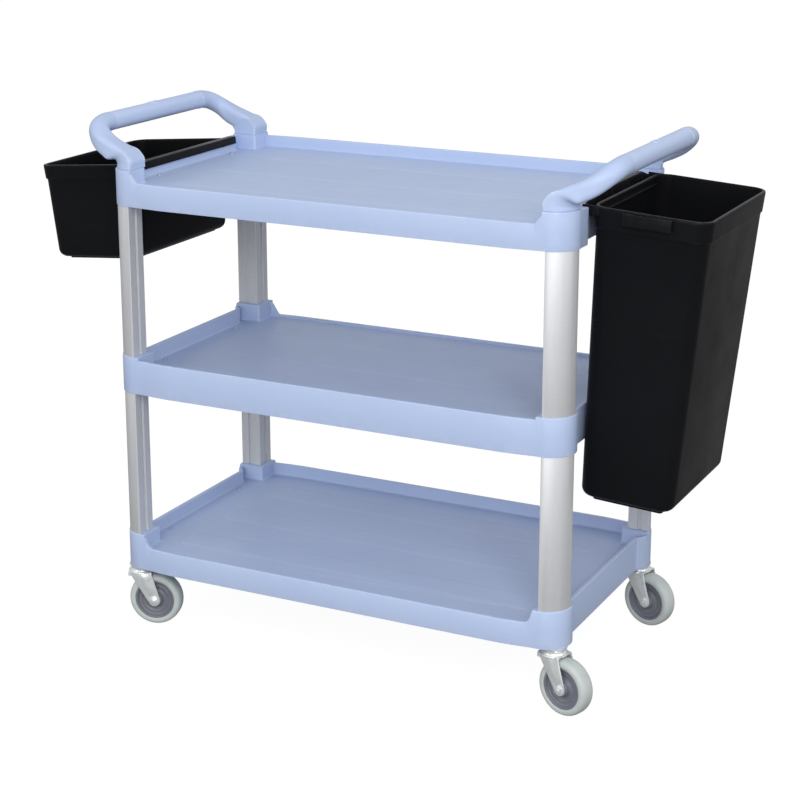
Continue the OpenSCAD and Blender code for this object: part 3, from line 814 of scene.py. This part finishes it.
def core_geo():
    g = Geo()
    half = [(38.0, 13.6), (37.4, 14.2), (36.2, 14.4), (35.0, 14.2), (34.3, 13.4), (33.7, 12.0), (33.2, 10.2), (32.2, 9.0), (30.6, 8.4), (27.8, 8.2),
            (27.0, 8.6), (26.2, 8.9), (25.4, 8.5), (24.6, 7.6), (23.0, 7.0), (19.5, 6.8), (17.2, 7.4), (15.6, 9.0), (14.6, 11.4), (14.0, 14.4),
            (13.4, 16.0), (12.2, 16.8), (9.0, 16.8), (8.4, 16.2), (8.2, 13.0), (4.2, 13.0)]
    prof = [(r, -h) for r, h in half] + [(r, h) for r, h in reversed(half)]
    revolve(g, prof, 96, lambda p: (TRAIL + p[0], p[2], WR + p[1]))
    return g


FORK, AXLE, TYRE, CORE = fork_geo(), axle_geo(), tyre_geo(), core_geo()
for key in CORNERS:
    fn = caster_frame(key)
    for label, geo, body, slot, mat, node, ang in (
            ("fork_pressing", FORK, "swivel_body", "zinc", M_ZINC, "fork", 40),
            ("axle_bolt", AXLE, "swivel_body", "zinc", M_ZINC, "axle", 35),
            ("wheel_centre", CORE, "wheel_body", "wheel_core", M_CORE, "core", 40),
            ("tread", TYRE, "wheel_body", "tyre", M_TYRE, "tyre", 40)):
        g = Geo()
        g.add(geo, fn)
        piece(f"caster_{key}_{label}", g, f"caster_{key}_{body}", slot, mat, [f"caster_{key}_{node}"], angle=ang)


# ------------------------------------------------------------------ CAD nodes that stay
def finish_node(name, mat, bevel=0.0, angle=35.0):
    ob = nodes[name]
    if not ob.material_slots:
        ob.data.materials.append(mat)
    for s in ob.material_slots:
        s.material = mat
    if bevel:
        w = ob.modifiers.new("weld", "WELD")
        w.merge_threshold = 2e-6
        b = ob.modifiers.new("edges", "BEVEL")
        b.width = bevel
        b.segments = 2
        b.limit_method = "ANGLE"
        b.angle_limit = math.radians(angle)
        b.harden_normals = False


for key in CORNERS:
    finish_node(f"post_upper_{key}", M_ALU, 0.0006)
    finish_node(f"post_lower_{key}", M_ALU, 0.0006)
    finish_node(f"caster_{key}_race", M_ZINC, 0.0005)
for side in ("left", "right"):
    finish_node(f"handle_{side}_core", M_ZINC)
finish_node("shelf_screws", M_SCREW, 0.0003)


# ------------------------------------------------------------------ floor, world, lights
WORLD = 0.655
FLOOR = 0.26
LIGHTS = [
    ("front_left", (-2.0, -3.0, 2.6), (2.0, 2.0), 16.0),
    ("front_right", (2.0, -3.4, 2.6), (2.0, 2.0), 84.0),
    ("right", (3.4, -0.6, 1.8), (1.8, 1.8), 15.0),
    ("low_front", (0.5, -4.0, 0.8), (2.0, 1.2), 30.0),
    ("back", (0.0, 3.0, 2.6), (2.0, 2.0), 3.0),
]

floor_mesh = bpy.data.meshes.new("studio_floor")
floor_mesh.from_pydata([(-60, -60, -0.0005), (60, -60, -0.0005), (60, 60, -0.0005), (-60, 60, -0.0005)], [], [(0, 1, 2, 3)])
floor_ob = bpy.data.objects.new("studio_floor", floor_mesh)
scene.collection.objects.link(floor_ob)


def seen_and_lit(nt, out, seen_shader, lit_shader):
    """One look for the camera's own rays, another for the light that reaches the object."""
    lp = nt.nodes.new("ShaderNodeLightPath")
    mix = nt.nodes.new("ShaderNodeMixShader")
    nt.links.new(lp.outputs["Is Camera Ray"], mix.inputs[0])
    nt.links.new(lit_shader, mix.inputs[1])
    nt.links.new(seen_shader, mix.inputs[2])
    nt.links.new(mix.outputs[0], out.inputs["Surface"])


fm = bpy.data.materials.new("studio_floor")
fm.use_nodes = True
ft = fm.node_tree
fb = ft.nodes["Principled BSDF"]
fb.inputs["Base Color"].default_value = (0.10, 0.10, 0.10, 1)
fb.inputs["Roughness"].default_value = 0.9
fb.inputs["Specular IOR Level"].default_value = 0.0
fb.inputs["Emission Color"].default_value = (1, 1, 1, 1)
fb.inputs["Emission Strength"].default_value = 0.95
fe = ft.nodes.new("ShaderNodeEmission")
fe.inputs["Strength"].default_value = FLOOR
seen_and_lit(ft, ft.nodes["Material Output"], fb.outputs[0], fe.outputs[0])
floor_mesh.materials.append(fm)

world = bpy.data.worlds.new("studio")
scene.world = world
world.use_nodes = True
wt = world.node_tree
wt.nodes.clear()
seen = wt.nodes.new("ShaderNodeBackground")
seen.inputs["Color"].default_value = (1, 1, 1, 1)
seen.inputs["Strength"].default_value = 1.05
lit = wt.nodes.new("ShaderNodeBackground")
lit.inputs["Color"].default_value = (0.98, 0.99, 1.0, 1)
lit.inputs["Strength"].default_value = WORLD
seen_and_lit(wt, wt.nodes.new("ShaderNodeOutputWorld"), seen.outputs[0], lit.outputs[0])

for name, loc, size, power in LIGHTS:
    d = bpy.data.lights.new(name, "AREA")
    d.shape = "RECTANGLE"
    d.size, d.size_y = size
    d.energy = power
    o = bpy.data.objects.new(name, d)
    scene.collection.objects.link(o)
    o.location = loc
    o.rotation_euler = (Vector((0.0, 0.0, 0.55)) - Vector(loc)).to_track_quat("-Z", "Y").to_euler()

scene.view_settings.view_transform = "Standard"
scene.view_settings.look = "None"
scene.view_settings.exposure = 0.0
scene.view_settings.gamma = 1.0
